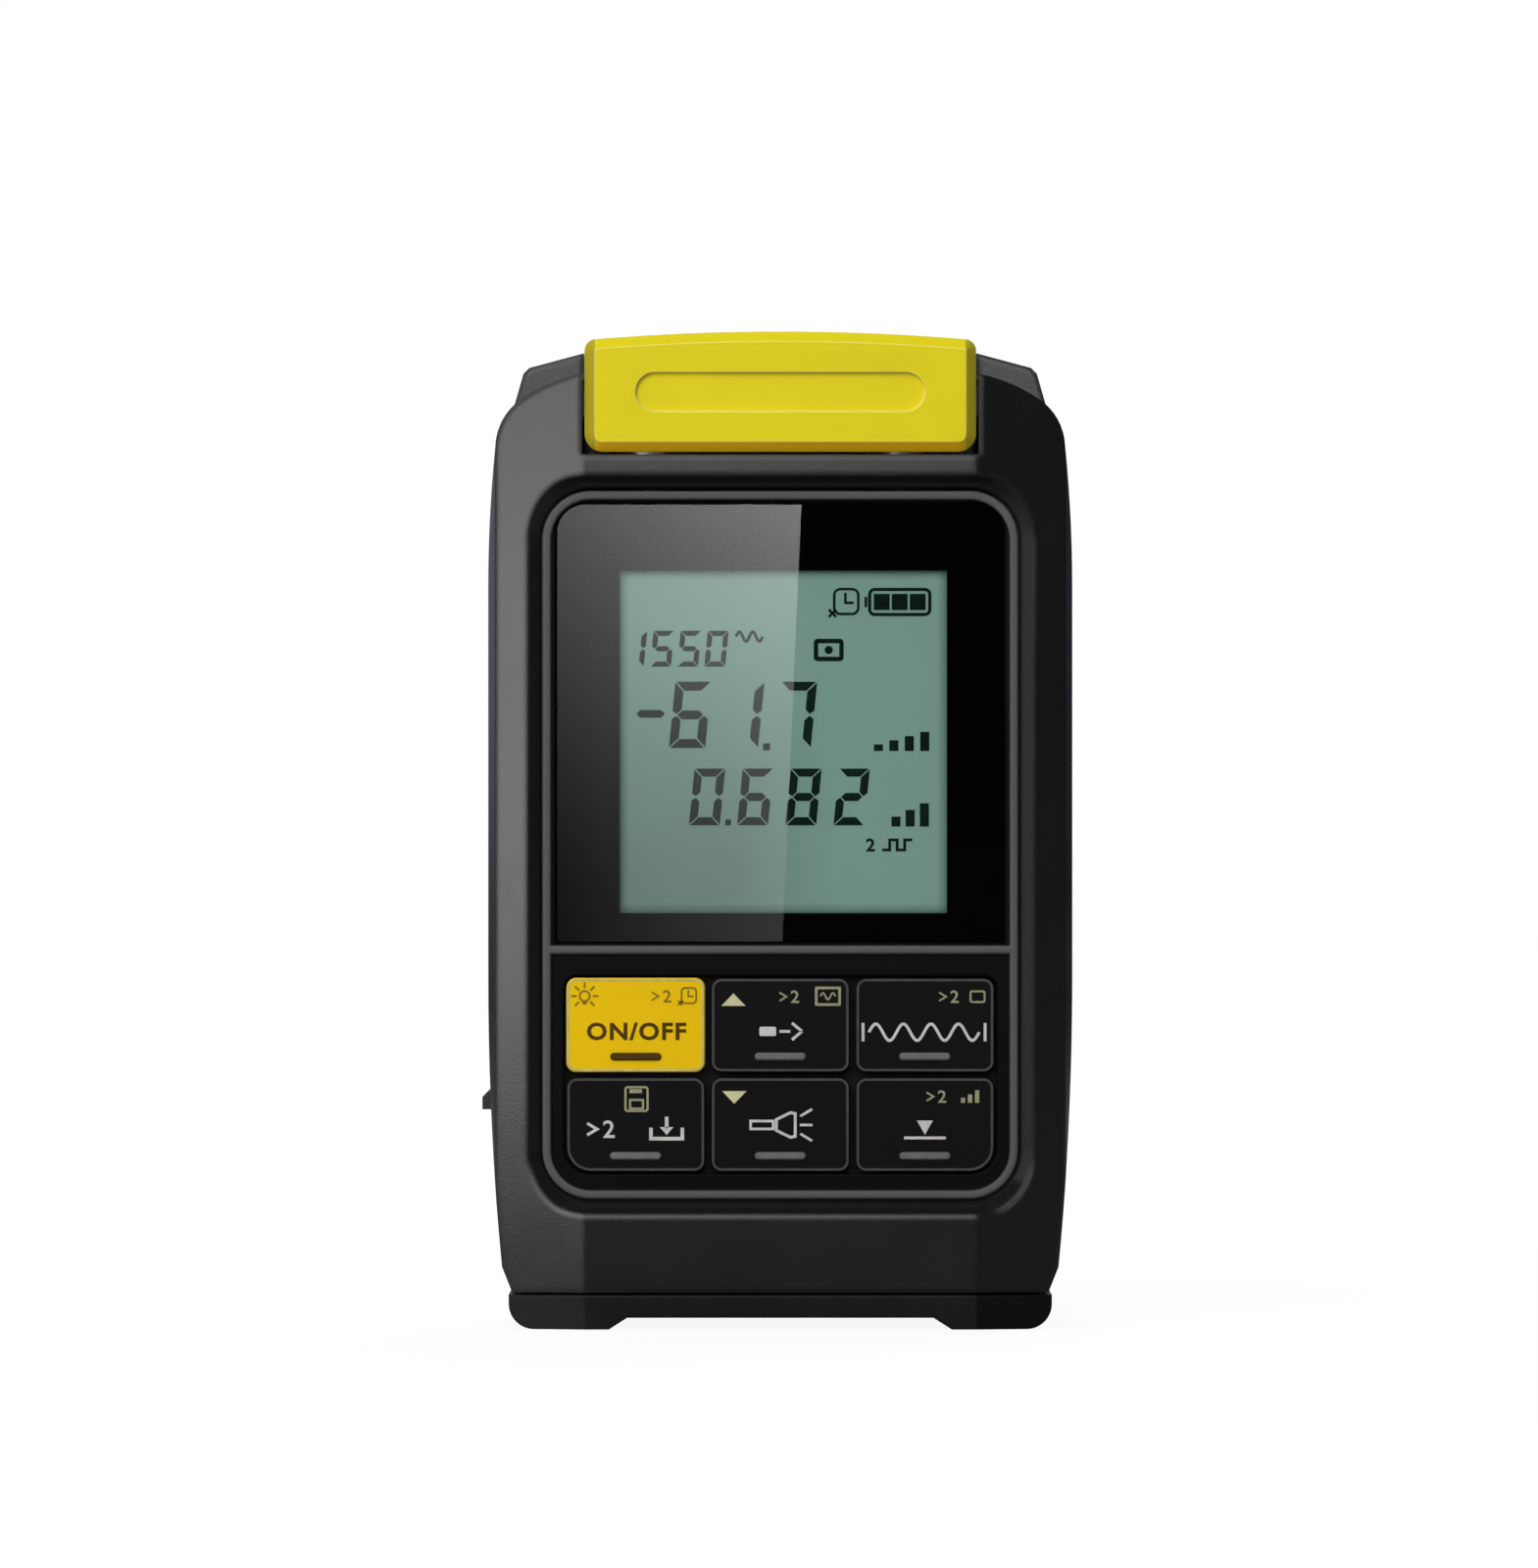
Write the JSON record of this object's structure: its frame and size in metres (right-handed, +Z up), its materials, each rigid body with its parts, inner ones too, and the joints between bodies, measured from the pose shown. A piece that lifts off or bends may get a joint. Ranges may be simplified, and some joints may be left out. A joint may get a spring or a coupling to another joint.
{
  "type": "optical power meter",
  "caption": "Handheld optical power meter with a grey-green display, a keypad with one yellow key, and a yellow flip cover over its fibre, network and torch ports",
  "frame": {"origin": "On the ground, under the middle of the body, which stands on its two feet", "axes": "+Z up along the height, +X to the right as seen from the front, +Y to the back; the display faces -Y"},
  "size_m": [0.0708, 0.0326, 0.1193],
  "materials": {
    "shell": "fine moulded grain",
    "cover": "satin moulded yellow",
    "deck": "plain black moulding",
    "bezel": "satin dark grey",
    "window": "clear window with a black border",
    "display": "grey-green liquid crystal display",
    "backlight": "white diffuser",
    "key": "satin black",
    "yellow_key": "satin yellow",
    "mat": "black silicone",
    "circuit_board": "green solder mask",
    "chip": "black moulding",
    "steel": "zinc plated",
    "nickel": "nickel plated",
    "brass": "plain brass",
    "gold": "gold plated",
    "clear_lens": "clear lens",
    "light_source": "yellow phosphor",
    "flap_rubber": "soft black rubber",
    "battery_wrap": "plain wrap"
  },
  "bodies": {
    "meter_body": {"front_housing": "shell", "rear_housing": "shell", "base_cap": "shell", "port_cover_pin": "steel", "port_deck": "deck", "power_meter_port": "nickel", "laser_port": "nickel", "torch_lens": "clear_lens", "port_nuts": "steel", "photodiode": "steel", "laser_module": "brass", "torch_led": "light_source", "network_socket": "deck", "network_contacts": "gold", "panel_bezel": "bezel", "display_window": "window", "lcd_panel": "display", "backlight": "backlight", "keypad_mat": "mat", "main_board": "circuit_board", "board_components": "chip", "buzzer": "chip", "case_screws": "steel", "board_screws": "steel", "charging_socket": "steel", "battery_pack": "battery_wrap", "battery_contacts": "gold"},
    "port_cover": {"port_cover": "cover"},
    "charging_port_flap": {"charging_port_flap": "flap_rubber"},
    "battery_door": {"battery_door": "shell"},
    "key_power": {"key_power": "yellow_key"},
    "key_laser": {"key_laser": "key"},
    "key_wavelength": {"key_wavelength": "key"},
    "key_save": {"key_save": "key"},
    "key_torch": {"key_torch": "key"},
    "key_reference": {"key_reference": "key"}
  },
  "joints": [
    {"name": "port_cover_hinge", "type": "hinge", "parent": "meter_body", "child": "port_cover", "pos_m": [0, 0.011, 0.1143], "axis": [-1, 0, 0], "range_deg": [0, 110]},
    {"name": "battery_door_hinge", "type": "hinge", "parent": "meter_body", "child": "battery_door", "pos_m": [0, 0.016, 0.022], "axis": [-1, 0, 0], "range_deg": [0, 60]},
    {"name": "charging_port_flap_hinge", "type": "hinge", "parent": "meter_body", "child": "charging_port_flap", "pos_m": [-0.0348, -0.0042, 0.0386], "axis": [0, 1, 0], "range_deg": [0, 110]},
    {"name": "key_power_press", "type": "slide", "parent": "meter_body", "child": "key_power", "axis": [0, 1, 0], "range_m": [0, 0.0005], "stiffness_N_per_m": 1500},
    {"name": "key_laser_press", "type": "slide", "parent": "meter_body", "child": "key_laser", "axis": [0, 1, 0], "range_m": [0, 0.0005], "stiffness_N_per_m": 1500},
    {"name": "key_wavelength_press", "type": "slide", "parent": "meter_body", "child": "key_wavelength", "axis": [0, 1, 0], "range_m": [0, 0.0005], "stiffness_N_per_m": 1500},
    {"name": "key_save_press", "type": "slide", "parent": "meter_body", "child": "key_save", "axis": [0, 1, 0], "range_m": [0, 0.0005], "stiffness_N_per_m": 1500},
    {"name": "key_torch_press", "type": "slide", "parent": "meter_body", "child": "key_torch", "axis": [0, 1, 0], "range_m": [0, 0.0005], "stiffness_N_per_m": 1500},
    {"name": "key_reference_press", "type": "slide", "parent": "meter_body", "child": "key_reference", "axis": [0, 1, 0], "range_m": [0, 0.0005], "stiffness_N_per_m": 1500}
  ]
}
